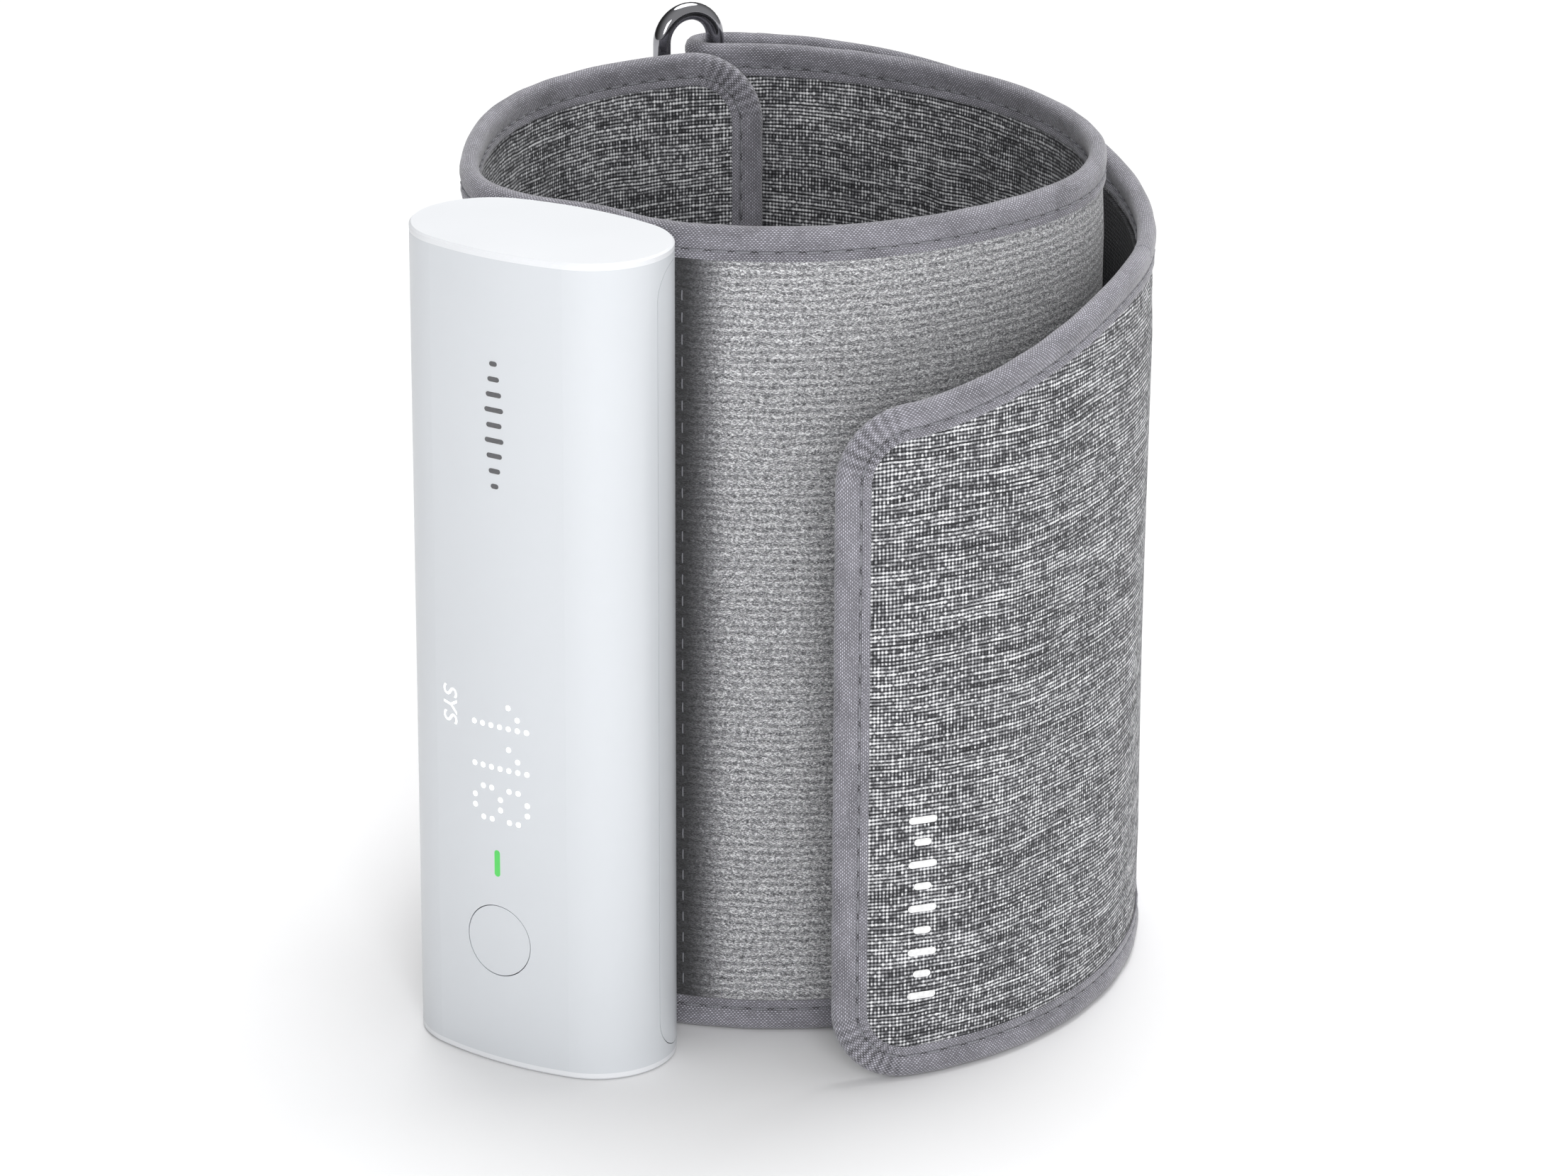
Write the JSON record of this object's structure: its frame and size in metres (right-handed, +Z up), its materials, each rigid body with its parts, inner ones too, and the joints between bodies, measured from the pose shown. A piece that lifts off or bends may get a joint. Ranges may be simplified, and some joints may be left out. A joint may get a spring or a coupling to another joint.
{
  "type": "upper-arm blood pressure monitor cuff",
  "caption": "Wrap-round cloth arm cuff with a metal ring and a folded-back hook flap, fixed to an upright oval tube that holds the pump, display and button.",
  "frame": {"origin": "middle of the footprint of the whole part, on the surface it stands on", "axes": "+X to the right and +Y away from the viewer with the display side of the tube facing the viewer, +Z up along the tube and along the arm"},
  "size_m": [0.1309, 0.1583, 0.1566],
  "materials": {
    "shell_white": "satin moulded plastic, pale cool white",
    "cap_white": "satin moulded plastic",
    "button_white": "satin moulded plastic",
    "light_green": "translucent green, lit from behind",
    "circuit_board": "green solder mask",
    "led_white": "clear cast lens, lit",
    "chip_black": "moulded epoxy",
    "switch_black": "moulded plastic with a steel frame",
    "chassis_grey": "moulded plastic",
    "screw_steel": "zinc plated",
    "port_steel": "drawn and plated",
    "cell_wrap": "shrunk blue film",
    "contact_nickel": "nickel plate",
    "motor_steel": "nickel plated can",
    "magnet_dark": "sintered ferrite",
    "rotor_steel": "laminated steel and copper wire",
    "pump_plastic": "natural acetal",
    "rubber_black": "moulded silicone",
    "valve_plastic": "moulded plastic",
    "coil_copper": "enamelled copper wire",
    "plunger_steel": "turned steel",
    "hose_clear": "silicone tube",
    "sensor_white": "ceramic body and plastic nozzle",
    "ring_chrome": "dark polished nickel plate",
    "webbing_grey": "woven tape",
    "lining_melange": "heathered plain weave",
    "pile_grey": "brushed loop pile with fine ribs",
    "binding_lavender": "woven edge tape, stitched",
    "hook_black": "moulded hooks",
    "stiffener_white": "thin flexible sheet",
    "bladder_grey": "welded polyurethane film",
    "clamp_steel": "pressed sheet"
  },
  "bodies": {
    "cuff_and_tube": {"front_shell": "shell_white", "rear_cover": "shell_white", "top_cap": "cap_white", "bottom_cap": "cap_white", "status_light": "light_green", "led_board": "circuit_board", "led_chips": "led_white", "main_board": "circuit_board", "board_chips": "chip_black", "button_switch": "switch_black", "chassis": "chassis_grey", "board_screws": "screw_steel", "charge_port": "port_steel", "battery_cell": "cell_wrap", "battery_contacts": "contact_nickel", "pump_motor_can": "motor_steel", "pump_magnets": "magnet_dark", "pump_head": "pump_plastic", "pump_diaphragm": "rubber_black", "valve_body": "valve_plastic", "valve_coil": "coil_copper", "air_manifold": "pump_plastic", "air_nozzle": "pump_plastic", "nozzle_seal": "rubber_black", "valve_hose": "hose_clear", "sensor_hose": "hose_clear", "pump_hose": "hose_clear", "pressure_sensor": "sensor_white", "ring_sleeve": "webbing_grey", "lining_loop": "lining_melange", "pile_loop": "pile_grey", "binding_loop": "binding_lavender", "cuff_stiffener": "stiffener_white", "air_bladder": "bladder_grey", "clamp_plate": "clamp_steel", "clamp_screws": "screw_steel"},
    "wrap": {"lining_wrap": "lining_melange", "pile_wrap": "pile_grey", "binding_wrap": "binding_lavender", "hook_patch_wrap": "hook_black"},
    "flap": {"lining_flap": "lining_melange", "pile_flap": "pile_grey", "binding_flap": "binding_lavender", "hook_patch_flap": "hook_black"},
    "ring": {"metal_ring": "ring_chrome"},
    "button": {"power_button": "button_white"},
    "pump_rotor": {"pump_rotor": "rotor_steel"},
    "valve_plunger": {"valve_plunger": "plunger_steel"}
  },
  "joints": [
    {"name": "wrap_fold", "type": "hinge", "parent": "cuff_and_tube", "child": "wrap", "pos_m": [0.00177, 0.07823, 0.075], "axis": [0, 0, 1], "range_deg": [0, 110]},
    {"name": "flap_fold", "type": "hinge", "parent": "wrap", "child": "flap", "pos_m": [0.06171, -0.02823, 0.075], "axis": [0, 0, 1], "range_deg": [-7, 95]},
    {"name": "ring_turn", "type": "hinge", "parent": "cuff_and_tube", "child": "ring", "pos_m": [-0.02441, 0.06795, 0.075], "axis": [0, 0, 1], "range_deg": [-2.5, 2.5]},
    {"name": "button_press", "type": "slide", "parent": "cuff_and_tube", "child": "button", "axis": [0.5446, 0.8387, 0], "range_m": [0, 0.0008], "stiffness_N_per_m": 1500},
    {"name": "rotor_spin", "type": "hinge", "parent": "cuff_and_tube", "child": "pump_rotor", "pos_m": [-0.04011, -0.05289, 0.12], "axis": [0, 0, 1], "continuous": true},
    {"name": "plunger_slide", "type": "slide", "parent": "cuff_and_tube", "child": "valve_plunger", "axis": [0, 0, 1], "range_m": [0, 0.0012], "stiffness_N_per_m": 300}
  ]
}
